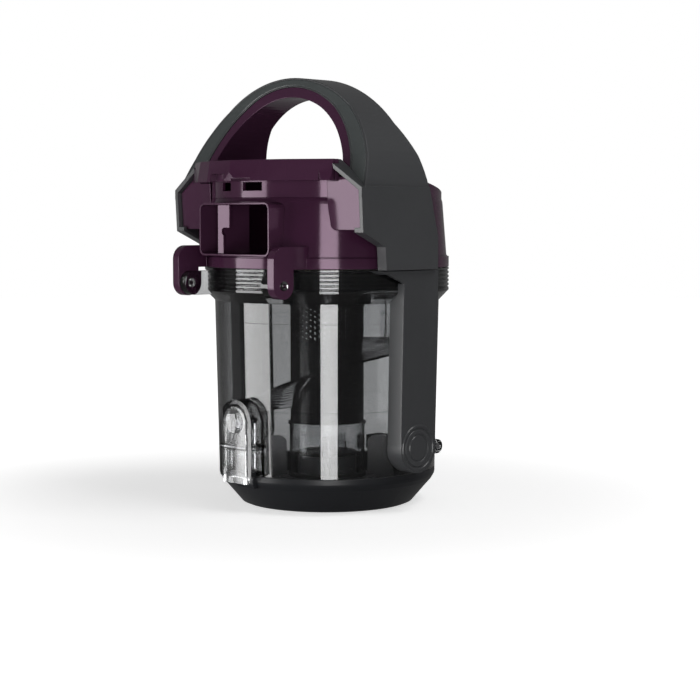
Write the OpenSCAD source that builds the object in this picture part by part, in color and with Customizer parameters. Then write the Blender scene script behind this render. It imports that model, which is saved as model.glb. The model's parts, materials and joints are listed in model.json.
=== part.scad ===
// Removable cyclonic dust container of a bagless canister vacuum cleaner.
// Origin at the centre of the base, +Z up, the outlet port faces -Y, the handle spans X.

/* [Lid] */
// Outer radius of the lid at its rim
lid_rim_r = 73.5; // [68:0.5:78]
// Height of the lid bowl from the table to the seam
lid_h = 24; // [22:0.5:28]
// Inset of the flat foot of the lid from its rim
lid_foot_inset = 16.5; // [13:0.5:20]
// Wall of the lid
lid_wall = 2.4; // [2:0.1:3]
// Radius of the central bore of the lid
lid_bore_r = 17; // [14:0.5:19]
// Rise of the collar round the central bore above the seam
lid_collar_rise = 7; // [4:0.5:10]
// Wall of the collar round the central bore
lid_collar_wall = 3; // [2:0.2:4]
// Number of radial fins inside the lid
lid_fins = 4; // [3:1:6]
// Rise of the fins above the seam
lid_fin_rise = 20; // [14:0.5:24]
// Thickness of one fin
lid_fin_t = 1.8; // [1.4:0.1:2.6]

/* [Dust container] */
// How much wider the container is under its shoulder than at the seam
bin_taper = 2.5; // [1:0.5:4]
// Wall of the clear container
bin_wall = 2.2; // [1.8:0.1:3]
// Height of the straight wall of the container from the seam to the shoulder
bin_h = 112.7; // [105:0.1:120]
// How far the ribbed collar stands out beyond the wall
collar_step = 6.6; // [5:0.2:8]
// Height of the ribbed collar
collar_h = 15; // [13:0.5:17]
// Height of the shoulder between body and collar
shoulder_h = 7; // [6:0.5:9]
// Number of ribs round the collar
collar_ribs = 5; // [2:1:6]

/* [Latch lever] */
// Half the width of the latch lever
lever_half_w = 10.6; // [9.8:0.2:11.4]
// Room round the lever inside its arch
lever_room = 1.4; // [1.2:0.1:1.8]
// Rise of the top of the latch lever above the seam
lever_rise = 46.2; // [42:0.2:50]
// Thickness of the lever plate
lever_t = 2.6; // [2:0.1:3.2]
// Rise of the lever pivot above the seam
lever_pivot_rise = 19; // [17:0.5:22]
// Radius of the lever pin
lever_pin_r = 1.5; // [1.2:0.1:1.8]
// Wall of the arch round the lever
arch_wall = 3; // [2.4:0.1:4]

/* [Lid hinge] */
// Distance of the lid hinge pin beyond the rim of the lid
lid_pin_out = 8.5; // [6.5:0.5:11]
// Rise of the lid hinge pin above the seam
lid_pin_rise = 7; // [5.5:0.5:9]
// Radius of the lid hinge pin
lid_pin_r = 2; // [1.6:0.1:2.4]
// Outer radius of the hinge knuckles
knuckle_r = 5; // [4.4:0.1:5.6]
// Half the length of the middle knuckle
knuckle_half = 18; // [12:0.5:22]
// Length of each outer knuckle
knuckle_len = 9.5; // [7:0.5:12]

/* [Side legs] */
// How far a leg stands out beyond the collar
leg_stand = 4.4; // [4:0.2:6]
// How far the foot of a leg leans in from its top
leg_lean = 2.4; // [0:0.2:4]
// Half the width of a leg
leg_half_w = 16.3; // [14:0.1:18]
// Wall of a leg
leg_wall = 2.2; // [1.8:0.1:3]
// Radius of the round cap on a leg
leg_cap_r = 12.4; // [11:0.1:13.5]
// Rise of the centre of the round cap above the seam
leg_cap_rise = 19; // [18:0.5:24]
// Reach of the flare at the top of a leg towards the port
leg_flare = 36; // [30:0.5:38]

/* [Housing hinge] */
// Distance of the housing hinge axis beyond the collar
hinge_out = 3.4; // [2.4:0.1:5]
// Rise of the housing hinge axis above the shoulder of the container
hinge_rise = 5.5; // [4:0.5:7]
// Radius of the trunnions of the housing hinge
trunnion_r = 3; // [2.5:0.1:3.5]
// Radius of the round end of a hinge lug
lug_r = 8.5; // [7.5:0.1:9]
// Distance from the centre to the inner face of a hinge lug
lug_x = 43; // [42:0.5:45]
// Thickness of a hinge lug
lug_t = 6; // [5:0.5:7]
// Rise of a hinge lug above the foot of the housing ring
lug_rise = 14.4; // [11:0.2:17]

/* [Housing] */
// Height of the flange ring of the housing
ring_h = 7.6; // [6:0.2:9]
// Inset of the foot of the drum from the collar
drum_inset = 1.6; // [1:0.1:2.4]
// How much narrower the drum is at its shoulder
drum_taper = 2.7; // [2:0.1:4]
// Height of the drum up to its shoulder
drum_h = 33.8; // [31:0.2:36]
// Wall of the drum
drum_wall = 2.5; // [2:0.1:3]
// Height of the deck at the outlet side above the foot of the drum
deck_front_h = 61.8; // [59:0.2:65]
// Height of the deck at the hose side above the foot of the drum
deck_rear_h = 42.8; // [40:0.2:46]

/* [Outlet port] */
// Half the outer width of the outlet port
port_half_w = 33.7; // [30:0.1:34.5]
// Outer height of the outlet port
port_h = 34.2; // [30:0.2:36]
// Distance of the port face beyond the collar
port_out = 1.9; // [0.5:0.1:3]
// Height of the seam between drum and deck above the foot of the drum
deck_seam_h = 37.8; // [37:0.1:39]
// Wall of the outlet port
port_wall = 1.2; // [1:0.1:2.6]
// Corner radius of the outlet port
port_corner = 4.5; // [3:0.5:6]

/* [Hose inlet] */
// Radius of the bore that takes the hose end
hose_r = 16; // [14:0.5:17]
// Height of the hose bore above the foot of the drum
hose_rise = 18.8; // [18:0.1:20]

/* [Handle] */
// How far the handle stands out beyond the legs
handle_stand = 3; // [2:0.2:5]
// Rise of the handle arch above its springing
handle_b = 84; // [80:0.5:88]
// Height of the springing of the arch above the collar
spring_h = 41; // [39:0.5:43]
// Reach of the cheeks towards the port
cheek_front = 58.4; // [56:0.2:60]
// Reach of the cheeks towards the hose side
cheek_back = 12.5; // [10:0.5:15]
// Distance of the front face of the arch from the axis at its top
arch_front = 33.5; // [31:0.5:36]
// Distance of the rear face of the arch from the axis at its top
arch_back = 9.8; // [7:0.2:12]
// Skin of the handle shell
handle_skin = 2.6; // [2.2:0.1:3.2]
// Width of the front face of the arch at its foot
face_foot = 15.7; // [14:0.1:17]
// Width of the front face of the arch at its top
face_top = 6; // [5:0.1:7]
// Thickness of the lining of the grip
lining_t = 6.7; // [5:0.1:8]

/* [Cyclone] */
// Radius of the shroud
shroud_r = 25; // [23:0.5:26]
// Wall of the shroud and the inner cup
shroud_wall = 1.4; // [1.2:0.1:2]
// Height of the lower edge of the shroud
shroud_bottom = 54; // [50:1:58]
// Height of the plain neck above the perforated band
neck_h = 12.2; // [8:0.2:18]
// Height of the perforated band
screen_h = 26; // [18:1:28]
// Columns of perforations round the shroud, an even number
screen_columns = 46; // [24:2:60]
// Rows of perforations
screen_rows = 7; // [3:1:9]
// Room between the guide ramp and the container wall
ramp_room = 7.3; // [4:0.1:14]
// Thickness of the guide ramp
ramp_t = 1.8; // [1.4:0.1:2.4]
// Height of the start of the ramp above the lower edge of the shroud
ramp_start = 8; // [4:1:14]
// Length of the inlet duct under the separator plate
duct_len = 42.2; // [36:0.2:48]
// Radius of the neck where it joins the separator plate
neck_r = 30; // [28:0.5:34]
// Outer radius of the pleated filter
filter_r = 37; // [34:0.5:38]
// Number of pleats
pleats = 36; // [24:2:44]

/* [Fits] */
// Gap between pieces that only lie against each other
gap = 0.3; // [0.2:0.05:0.4]
// Radial clearance of every running fit
running = 0.05; // [0.03:0.01:0.08]

/* [Hidden] */
$fn = 96;
lid_colour = [0.13, 0.14, 0.15];
clear_colour = [0.82, 0.84, 0.86, 0.35];
anthracite = [0.23, 0.24, 0.25];
purple = [0.25, 0.14, 0.21];
smoke = [0.2, 0.2, 0.21];
steel = [0.7, 0.7, 0.72];
rubber = [0.08, 0.08, 0.08];
paper = [0.85, 0.84, 0.8];

// Heights that follow from the driving sizes
bin_bottom_z = lid_h + gap;
lid_foot_r = lid_rim_r - lid_foot_inset;
lid_collar_h = lid_h + lid_collar_rise;
lid_fin_top = lid_h + lid_fin_rise;
lever_top_z = lid_h + lever_rise;
lever_pivot_z = lid_h + lever_pivot_rise;
lid_pin_y = lid_rim_r + lid_pin_out;
lid_pin_z = lid_h + lid_pin_rise;
leg_cap_z = lid_h + leg_cap_rise;
bin_shoulder_z = bin_bottom_z + bin_h;
bin_top_r = lid_rim_r + bin_taper;
collar_r = bin_top_r + collar_step;
leg_x = collar_r + leg_stand;
leg_root = lid_rim_r - 13.5;
leg_foot_x = leg_x - leg_lean;
handle_a = leg_x + handle_stand;
hinge_y = collar_r + hinge_out;
port_y = collar_r + port_out;
drum_foot_r = collar_r - drum_inset;
drum_shoulder_r = drum_foot_r - drum_taper;
shoulder_top = bin_shoulder_z + shoulder_h;
collar_top = shoulder_top + collar_h;
hinge_z = shoulder_top + hinge_rise;
spring_z = collar_top + spring_h;
ring_z = collar_top + 2 * gap;
drum_z = ring_z + ring_h;
drum_shoulder_z = drum_z + drum_h;
deck_seam_z = drum_z + deck_seam_h;
deck_front_z = drum_z + deck_front_h;
deck_rear_z = drum_z + deck_rear_h;
hose_z = drum_z + hose_rise;
lug_top = ring_z + lug_rise;
bin_bottom_r = lid_rim_r;
collar_in_r = collar_r - bin_wall - 1;
arch_half_w = lever_half_w + lever_room + arch_wall;
arch_top_z = lever_top_z - lever_half_w;
arch_front_y = bin_bottom_r + 10.1;
lever_front_y = arch_front_y + 0.8;
lever_back_y = lever_front_y - lever_t;
lever_pivot_y = lever_back_y - 4;
lever_bottom_z = lid_h - 4;
hook_h = 3.4;
hook_y = lever_back_y - 4.6;
plateau_z = lid_h - 7;
floor_z = lid_wall + 0.8 + gap / 3;
cone_top_r = shroud_r + 7;
cone_foot_r = shroud_r + 13;
cup_seal_z = plateau_z + 2.8;
plug_z = lid_collar_h + gap;
plug_t = 3;
peg_r = 2.4;
plate_z = shoulder_top + 1.2;
plate_t = 3;
filter_top = plate_z + 28;
duct_half = 13;
duct_y = bin_top_r - duct_half - 6;
duct_bottom = plate_z - duct_len;
screen_bottom = plate_z - neck_h - screen_h;
screen_top = screen_bottom + screen_h;
ramp_r = lid_rim_r - bin_wall - ramp_room;
ramp_low = shroud_bottom + ramp_start;
leg_top = collar_top - 2 * gap;
cheek_bottom = collar_top;
port_z = drum_z + 0.4;
port_top = port_z + port_h;
lug_front = hinge_y + lug_r;
deck_t = 2.2;
slab_h = 13.4;
cover_lean = 9.5;
port_end = port_y - 40.5;
cover_half = drum_shoulder_r - 12.3;
hook_windows = [[-22, -11], [1.5, 17.5]];
slope_front = 45;
slope_back = drum_shoulder_r - 20.3;
catch_y = collar_r + 4.4;
catch_z = ring_z + 3.6;
catch_pin_r = 1.2;
catch_half_w = 9;
handle_screw_y = -12;
drum_joint_y = handle_screw_y - 9;
handle_screw_z = [drum_z + 9.8, drum_z + 23.8];
lining_a = handle_a - face_foot;
lining_b = handle_b - face_top;
grip_a = lining_a - lining_t;
grip_b = lining_b - lining_t;
arch_limit = spring_z + handle_b + 6;
side = handle_a + 5;
far_front = cheek_front + 3.6;
far_back = cheek_back + 1.5;

// Points of an arc in a plane
function arc(x, y, r, from, to, steps) =
    [for (i = [0 : steps]) let(a = from + (to - from) * i / steps) [x + r * cos(a), y + r * sin(a)]];

// Points of half an oval that springs at spring_z, from +X over the top to -X
function half_oval(a, b) =
    [for (i = [0 : 60]) let(t = 3 * i) [a * cos(t), spring_z + b * sin(t)]];

// The same oval with straight sides down to a height
function horseshoe(a, b, low) = concat([[a, low]], half_oval(a, b), [[-a, low]]);

// Outer radius of the clear container at a height
function bin_r(z) =
    bin_bottom_r + (bin_top_r - bin_bottom_r) * (z - bin_bottom_z) / (bin_shoulder_z - bin_bottom_z);

// Outer radius of the drum at a height
function drum_r(z) = drum_foot_r + (drum_shoulder_r - drum_foot_r) * (z - drum_z) / (drum_shoulder_z - drum_z);

// Where a handle screw leaves the outer face of the drum
function screw_x(z) = sqrt(pow(drum_r(z), 2) - pow(handle_screw_y, 2));

module revolve(points) {
    rotate_extrude() polygon(points);
}

// A profile of (Y, Z) points extruded along X
module along_x(from, to, points) {
    translate([from, 0, 0]) rotate([90, 0, 90]) linear_extrude(to - from) polygon(points);
}

// A profile of (X, Z) points extruded along Y
module along_y(from, to, points) {
    translate([0, to, 0]) rotate([90, 0, 0]) linear_extrude(to - from) polygon(points);
}

module box(low, high) {
    translate(low) cube(high - low);
}

module rod_x(from, to, y, z, r) {
    translate([from, y, z]) rotate([0, 90, 0]) cylinder(h = to - from, r = r);
}

module rod_y(from, to, x, z, r) {
    translate([x, from, z]) rotate([-90, 0, 0]) cylinder(h = to - from, r = r);
}

module ring(r_in, r_out, low, high) {
    revolve([[r_in, low], [r_out, low], [r_out, high], [r_in, high]]);
}

module both_sides() {
    children();
    mirror([1, 0, 0]) children();
}

// ---- Lid ----

module lid_bowl() {
    w = lid_wall;
    revolve([
        [lid_foot_r - 7, 0], [lid_foot_r - 1, 0], [lid_foot_r + 1.4, 1], [lid_rim_r - 2.2, lid_h - 8],
        [lid_rim_r - 0.4, lid_h - 5], [lid_rim_r, lid_h - 3.5], [lid_rim_r, lid_h],
        [lid_rim_r - 5, lid_h], [lid_rim_r - 5, lid_h - 4], [lid_foot_r, w + 0.8], [cone_foot_r - 2, w + 0.8],
        [cone_foot_r - 2, 0.6], [lid_foot_r - 8, 0.6]
    ]);
}

module baffle_fin() {
    inner = shroud_r + 2.6;
    outer = inner + 15.4;
    round_r = 5.5;
    rotate([90, 0, 0]) translate([0, 0, -lid_fin_t / 2]) linear_extrude(lid_fin_t)
        polygon(concat(
            [
                [inner + 4, plateau_z - 1], [cone_foot_r, floor_z + 0.5], [outer + 6, floor_z],
                [outer, lid_h + 6]
            ],
            arc(outer - round_r, lid_fin_top - round_r, round_r, 0, 90, 6),
            arc(inner + round_r, lid_fin_top - round_r, round_r, 90, 180, 6),
            [[inner, plateau_z - 1]]
        ));
}

// Cone with the central tube and the fins that keep the dust from turning
module lid_baffle() {
    w = lid_wall;
    r = lid_bore_r + lid_collar_wall;
    color(lid_colour) difference() {
        union() {
            revolve([
                [lid_bore_r, 0], [r - 0.8, 0], [r - 0.8, plateau_z - w], [cone_top_r - 1.8, plateau_z - w],
                [cone_foot_r - 1.8, floor_z], [cone_foot_r + 5, floor_z], [cone_foot_r + 5, floor_z + 1.6],
                [cone_foot_r, floor_z + 1.6], [cone_top_r, plateau_z], [r, plateau_z], [r, lid_collar_h],
                [lid_bore_r, lid_collar_h]
            ]);
            for (i = [0 : lid_fins - 1]) rotate([0, 0, 45 + 360 * i / lid_fins]) baffle_fin();
        }
        ring(shroud_r - 2.6, shroud_r + 1.6, plateau_z - 0.9, plateau_z + 1);
    }
}

// Strike that the lever hook holds
module lid_strike() {
    y = lid_rim_r;
    along_x(-8, 8, [
        [-(y - 2.5), lid_h - 8], [-(y + 1), lid_h - 8], [-(y + 2.3), lid_h - 5], [-(y + 2.3), lid_h],
        [-(hook_y + 2.6), lid_h], [-(hook_y + 2.6), lid_h + 2.8], [-(y + 0.7), lid_h + 2.8],
        [-(y + 0.7), lid_h - 0.2], [-(y - 2.5), lid_h - 0.2]
    ]);
}

module lid_knuckle() {
    difference() {
        union() {
            rod_x(-knuckle_half, knuckle_half, lid_pin_y, lid_pin_z, knuckle_r);
            along_x(-knuckle_half, knuckle_half, [
                [lid_rim_r - 4, lid_h - 9], [lid_rim_r - 0.5, lid_h - 9],
                [lid_pin_y + knuckle_r, lid_pin_z - 3],
                [lid_pin_y + knuckle_r, lid_pin_z], [lid_pin_y - knuckle_r + 0.6, lid_pin_z],
                [lid_rim_r + 1, lid_h], [lid_rim_r - 4, lid_h - 0.2]
            ]);
        }
        rod_x(-40, 40, lid_pin_y, lid_pin_z, lid_pin_r + running);
        ring(0, lid_rim_r - 4.9, 0, 40);
    }
}

module lid() {
    color(lid_colour) {
        difference() {
            union() {
                lid_bowl();
                lid_strike();
                lid_knuckle();
            }
            ring(lid_rim_r - 3.8, lid_rim_r - 1.6, lid_h - 2.4, lid_h + 0.01);
        }
    }
}

module lid_seal() {
    color(rubber) ring(lid_rim_r - 3.7, lid_rim_r - 1.7, lid_h - 2.4, lid_h + gap / 3);
}

module cup_seal() {
    color(rubber) ring(shroud_r - 2.5, shroud_r + 1.5, plateau_z - 0.9, cup_seal_z);
}

// ---- Clear container ----

module bin_outer(extra, top) {
    revolve([
        [0, bin_bottom_z], [bin_bottom_r + extra, bin_bottom_z], [bin_top_r + extra, bin_shoulder_z],
        [collar_r + extra, shoulder_top], [collar_r + extra, top], [0, top]
    ]);
}

module bin_inner() {
    revolve([
        [0, bin_bottom_z - 1], [bin_bottom_r - bin_wall, bin_bottom_z - 1],
        [bin_top_r - bin_wall, bin_shoulder_z + 1], [collar_in_r, shoulder_top + 1],
        [collar_in_r, collar_top + 1], [0, collar_top + 1]
    ]);
}

module collar_grooves() {
    pitch = collar_h / (collar_ribs + 0.6);
    for (i = [0 : collar_ribs - 1]) {
        z = shoulder_top + pitch * (i + 0.55);
        revolve([
            [collar_r + 0.2, z - 0.1], [collar_r - 0.8, z + pitch * 0.26], [collar_r - 0.8, z + pitch * 0.34],
            [collar_r + 0.2, z + pitch * 0.6 + 0.1]
        ]);
    }
}

// Two fine lines round the wall
module wall_lines() {
    for (z = [bin_bottom_z + 42.7, bin_shoulder_z - 13]) {
        r = bin_r(z);
        revolve([[r - 0.3, z], [r + 1, z - 0.4], [r + 1, z + 0.4]]);
    }
}

module lever_arch() {
    depth = bin_bottom_r - 3;
    difference() {
        union() {
            box([-arch_half_w, -arch_front_y, bin_bottom_z], [arch_half_w, -depth, arch_top_z]);
            rod_y(-arch_front_y, -depth, 0, arch_top_z, arch_half_w);
        }
        inner = arch_half_w - arch_wall;
        box([-inner, -arch_front_y - 1, bin_bottom_z - 1], [inner, -depth + 1, arch_top_z]);
        rod_y(-arch_front_y - 1, -depth + 1, 0, arch_top_z, inner);
        rod_x(-40, 40, -lever_pivot_y, lever_pivot_z, lever_pin_r + running);
    }
}

module hinge_ears() {
    ear_x = lug_x - 0.5;
    both_sides() {
        rod_x(ear_x - 6, ear_x, -hinge_y, hinge_z, lug_r - 0.5);
        box([ear_x - 6, -hinge_y, hinge_z - lug_r + 0.5], [ear_x, -collar_r + 20, hinge_z + lug_r - 0.7]);
        rod_x(ear_x - 1, lug_x + lug_t + 0.6, -hinge_y, hinge_z, trunnion_r);
    }
}

module lid_hinge_lugs() {
    inner = knuckle_half + 0.6;
    difference() {
        both_sides() {
            rod_x(inner, inner + knuckle_len, lid_pin_y, lid_pin_z, knuckle_r);
            box(
                [inner, lid_rim_r - 8, lid_pin_z - knuckle_r],
                [inner + knuckle_len, lid_pin_y, lid_pin_z + knuckle_r]
            );
        }
        rod_x(-40, 40, lid_pin_y, lid_pin_z, lid_pin_r + running);
    }
}

module leg_bosses() {
    both_sides() {
        difference() {
            rod_x(bin_bottom_r - 2, leg_foot_x - 4.2, 0, leg_cap_z, 4.5);
            rod_x(bin_bottom_r + 1, leg_x, 0, leg_cap_z, 1.35);
        }
        rod_x(bin_bottom_r - 2, leg_x - leg_wall - leg_lean / 2 - 0.1, 0, bin_shoulder_z - 25, 3.5);
    }
}

module catch_strike() {
    y = collar_r;
    along_x(-6, 6, [
        [y - 2, hinge_z + 0.5], [y + 2.6, hinge_z + 0.5], [y + 2.6, hinge_z + 3], [y - 2, hinge_z + 5.5]
    ]);
}

module container() {
    color(clear_colour) difference() {
        union() {
            difference() {
                bin_outer(0, collar_top);
                collar_grooves();
                wall_lines();
            }
            lever_arch();
            hinge_ears();
            lid_hinge_lugs();
            leg_bosses();
            catch_strike();
            rod_y(-bin_bottom_r - 3, -bin_bottom_r + 3, 0, arch_top_z - 1, 1.7);
        }
        bin_inner();
        both_sides() rod_x(lug_x + 1, lug_x + lug_t + 2, -hinge_y, hinge_z, trunnion_r - 1.4);
    }
}

// ---- Latch lever ----

module latch_lever() {
    w = lever_half_w;
    web = lever_back_y - lever_pivot_y;
    color(clear_colour) difference() {
        union() {
            box([-w, -lever_front_y, lever_bottom_z], [w, -lever_back_y, lever_top_z - w]);
            rod_y(-lever_front_y, -lever_back_y, 0, lever_top_z - w, w);
            both_sides() box(
                [w - 1.8, -lever_back_y - 0.5, lid_h + 6],
                [w, -lever_pivot_y + 0.7, lever_top_z - w]
            );
            rod_x(-w, w, -lever_pivot_y, lever_pivot_z, lever_pin_r + 1.4);
            box([-w, -lever_back_y - 0.5, lever_pivot_z - 1.5], [w, -lever_back_y + web, lever_pivot_z + 1.5]);
            box([-7.6, -lever_front_y, lever_bottom_z], [7.6, -hook_y, lever_bottom_z + hook_h]);
        }
        rod_x(-w - 1, w + 1, -lever_pivot_y, lever_pivot_z, lever_pin_r + running);
        translate([0, -lever_front_y - 28.8, arch_top_z + 0.5]) sphere(r = 30);
    }
}

module latch_pin() {
    color(steel) rod_x(-arch_half_w, arch_half_w, -lever_pivot_y, lever_pivot_z, lever_pin_r);
}

// Compression spring behind the upper half of the lever
module latch_spring() {
    turns = 5;
    steps = 14;
    wire = 0.45;
    coil = 2.7;
    from = -lever_back_y + gap;
    to = -bin_r(arch_top_z) - gap - 0.2;
    count = turns * steps;
    pts = [for (i = [0 : count]) for (k = [0 : 5])
        let(a = 360 * i / steps, b = 60 * k, r = coil + wire * cos(b))
        [r * cos(a), from + wire + (to - from - 2 * wire) * i / count + wire * sin(b), arch_top_z - 1 + r * sin(a)]];
    sides = [for (i = [0 : count - 1]) for (k = [0 : 5])
        [i * 6 + k, i * 6 + (k + 1) % 6, (i + 1) * 6 + (k + 1) % 6, (i + 1) * 6 + k]];
    ends = [[5, 4, 3, 2, 1, 0], [for (k = [0 : 5]) count * 6 + k]];
    color(steel) polyhedron(pts, concat(sides, ends));
}

module lid_hinge_pin() {
    half = knuckle_half + 0.6 + knuckle_len;
    color(steel) rod_x(-half, half, lid_pin_y, lid_pin_z, lid_pin_r);
}

// ---- Side legs ----

// Everything inside the leaning outer face of a leg, drawn in by a wall
module leg_limit(inset) {
    bend = leg_cap_z + leg_cap_r + 2;
    along_y(-leg_flare - 2, leg_half_w + 2, [
        [leg_root - 2, 0], [leg_foot_x - inset, 0], [leg_foot_x - inset, bend], [leg_x - inset, leg_top],
        [leg_x - inset, leg_top + 1], [leg_root - 2, leg_top + 1]
    ]);
}

module leg() {
    w = leg_half_w;
    iw = w - leg_wall;
    x = leg_foot_x;
    low = leg_cap_z + w + 2.7;
    difference() {
        union() {
            intersection() {
                union() {
                    along_x(leg_root, leg_x, [
                        [-w, leg_top - 8], [-leg_flare, leg_top], [w, leg_top], [w, leg_cap_z], [-w, leg_cap_z]
                    ]);
                    rod_x(leg_root, leg_x, 0, leg_cap_z, w + 0.2);
                }
                leg_limit(0);
            }
            translate([x - 0.1, 0, leg_cap_z]) rotate([0, 90, 0]) revolve([
                [leg_cap_r + 0.8, 0], [w - 0.8, 0], [w - 1.4, 0.6], [leg_cap_r + 1.4, 0.6]
            ]);
        }
        bin_outer(0.2, leg_top + 1);
        intersection() {
            along_x(leg_root, leg_x, [
                [-iw, low], [iw, low], [iw, leg_top - leg_wall], [3 - leg_flare, leg_top - leg_wall], [-iw, leg_top - 9]
            ]);
            leg_limit(leg_wall);
        }
        rod_x(leg_root, x - leg_wall - 2, 0, leg_cap_z, iw);
        box([leg_root, -iw, leg_cap_z], [x - leg_wall - 2, iw, low + 0.1]);
        rod_x(x - 1.6, leg_x + 2, 0, leg_cap_z, leg_cap_r + 0.15);
        rod_x(leg_root, leg_x + 1, 0, leg_cap_z, 1.7);
        rod_x(x - 3.1, leg_x, 0, leg_cap_z, 3.6);
    }
}

module leg_right() {
    color(anthracite) leg();
}

module leg_left() {
    color(anthracite) mirror([1, 0, 0]) leg();
}

module leg_cap() {
    translate([leg_foot_x - 1.5, 0, leg_cap_z]) rotate([0, 90, 0]) revolve([
        [0, 0], [leg_cap_r, 0], [leg_cap_r, 1.3], [leg_cap_r - 0.4, 1.8], [leg_cap_r - 3, 1.8],
        [leg_cap_r - 3.4, 1.2], [leg_cap_r - 4, 1.2], [leg_cap_r - 4.4, 1.6], [0, 1.6]
    ]);
}

module leg_cap_right() {
    color(anthracite) leg_cap();
}

module leg_cap_left() {
    color(anthracite) mirror([1, 0, 0]) leg_cap();
}

module leg_screws() {
    color(steel) both_sides() {
        rod_x(bin_bottom_r + 1.4, leg_foot_x - 3, 0, leg_cap_z, 1.3);
        rod_x(leg_foot_x - 3, leg_foot_x - 1.7, 0, leg_cap_z, 3.2);
    }
}

// ---- Cyclone insert ----

// Clear cup for the fine dust with the hub that holds the plug
module inner_cup() {
    r = shroud_r + 0.6;
    hub_low = plug_z + plug_t + 1.2;
    color(clear_colour) {
        revolve([
            [r - shroud_wall, cup_seal_z + gap], [r, cup_seal_z + gap], [r, shroud_bottom - 1.5],
            [r + 1, shroud_bottom - 1.5], [r + 1, shroud_bottom - 0.1], [r - shroud_wall, shroud_bottom - 0.1]
        ]);
        ring(peg_r + 0.05, peg_r + 1.6, hub_low, hub_low + 7);
        for (i = [0 : 2]) rotate([0, 0, 105 + 120 * i])
            box([peg_r + 1.2, -0.6, hub_low], [r - shroud_wall + 0.2, 0.6, hub_low + 7]);
    }
}

// Lower, plain length of the shroud
module shroud() {
    color(smoke) ring(shroud_r - shroud_wall, shroud_r, shroud_bottom, screen_bottom);
}

// Plug that closes the central tube of the lid
module lid_plug() {
    r = lid_bore_r + lid_collar_wall;
    color(smoke) revolve([
        [0, plug_z], [r, plug_z], [r, plug_z + 1.4], [r - 1, plug_z + 2.4], [peg_r + 2, plug_z + plug_t],
        [peg_r, plug_z + plug_t], [peg_r, plug_z + plug_t + 8.2], [0, plug_z + plug_t + 8.2]
    ]);
}

// Perforated length of the shroud
module shroud_screen() {
    pitch = screen_h / screen_rows;
    hole = pitch * 0.36;
    color(smoke) difference() {
        ring(shroud_r - 1.1, shroud_r, screen_bottom, screen_top);
        for (i = [0 : screen_columns - 1]) for (j = [0 : screen_rows - 1])
            rotate([0, 0, 360 * i / screen_columns])
                translate([shroud_r - 2.5, 0, screen_bottom + pitch * (j + (i % 2 == 0 ? 0.32 : 0.68))])
                    rotate([0, 90, 0]) cylinder(h = 4, r = hole, $fn = 6);
    }
}

// Carrier plate with the neck of the shroud, the rim and the openings for dirty air
module separator_plate() {
    top = plate_z + plate_t;
    rim = collar_in_r - gap;
    color(smoke) difference() {
        union() {
            revolve([
                [shroud_r - 1.4, screen_top], [shroud_r + 0.6, screen_top], [shroud_r + 0.6, screen_top + 2],
                [neck_r, screen_top + 7], [neck_r, plate_z], [rim, plate_z],
                [rim, collar_top - 1], [rim - 1.8, collar_top - 1], [rim - 1.8, top],
                [shroud_r - 1.4, top]
            ]);
            ring(filter_r + 0.6, filter_r + 2.2, top - 0.2, top + 7);
        }
        box(
            [-duct_half + 1.5, duct_y - duct_half + 1.5, plate_z - 1],
            [duct_half - 1.5, duct_y + duct_half - 1.5, top + 1]
        );
    }
}

// Clear duct that leads the dirty air down on to the guide ramp
module inlet_duct() {
    h = duct_half;
    color(clear_colour) difference() {
        box([-h, duct_y - h, duct_bottom], [h, duct_y + h - 0.6, plate_z - 0.05]);
        box([-h + 1.5, duct_y - h + 1.5, duct_bottom + 1.5], [h - 1.5, duct_y + h - 2.1, plate_z + 1]);
        box([h - 5, duct_y - h + 1.5, duct_bottom + 9], [h + 1, duct_y + h - 2.1, plate_z - 8]);
    }
}

// Guide ramp that climbs fast in front and levels out under the duct
module swirl_ramp() {
    from = 250;
    to = 433;
    steps = 48;
    inner = shroud_r + 0.05;
    rise = duct_bottom + 4.1 - ramp_low;
    pts = [for (i = [0 : steps])
        let(
            a = from + (to - from) * i / steps,
            z = ramp_low + rise * (1 - pow(1 - i / steps, 2.6)),
            c = cos(a),
            s = sin(a)
        )
        each [
            [inner * c, inner * s, z + 2], [ramp_r * c, ramp_r * s, z],
            [ramp_r * c, ramp_r * s, z + ramp_t], [inner * c, inner * s, z + 2 + ramp_t]
        ]];
    sides = [for (i = [0 : steps - 1]) for (k = [0 : 3])
        each [
            [i * 4 + k, i * 4 + (k + 1) % 4, (i + 1) * 4 + (k + 1) % 4],
            [i * 4 + k, (i + 1) * 4 + (k + 1) % 4, (i + 1) * 4 + k]
        ]];
    ends = [[3, 2, 1, 0], [for (k = [0 : 3]) steps * 4 + k]];
    color(smoke) polyhedron(pts, concat(sides, ends));
}

// Star of n points between two radii
module pleats(n, outer, inner) {
    polygon([for (i = [0 : n - 1]) let(r = i % 2 == 0 ? outer : inner) [r * cos(360 * i / n), r * sin(360 * i / n)]]);
}

// Star-folded filter that stands on the plate over the shroud
module pleated_filter() {
    low = plate_z + plate_t + 0.1;
    inner = filter_r - 7;
    n = 2 * pleats;
    color(paper) translate([0, 0, low]) linear_extrude(filter_top - low - 2.1) difference() {
        pleats(n, filter_r, inner + 1.2);
        pleats(n, filter_r - 1.2, inner);
    }
}

module filter_lid() {
    color(smoke) ring(10, filter_r + 1, filter_top - 2, filter_top);
}

// ---- Housing ----

module hinge_lugs() {
    round_r = 9;
    both_sides() difference() {
        union() {
            along_x(lug_x, lug_x + lug_t, concat(
                [
                    [-lug_front, hinge_z], [-hinge_y + lug_r, hinge_z], [-hinge_y + lug_r, ring_z],
                    [22.6 - collar_r, ring_z], [22.6 - collar_r, lug_top]
                ],
                arc(-lug_front + round_r, lug_top - round_r, round_r, 90, 180, 8)
            ));
            rod_x(lug_x, lug_x + lug_t, -hinge_y, hinge_z, lug_r);
        }
        rod_x(0, 80, -hinge_y, hinge_z, trunnion_r + 0.06);
    }
}

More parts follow.
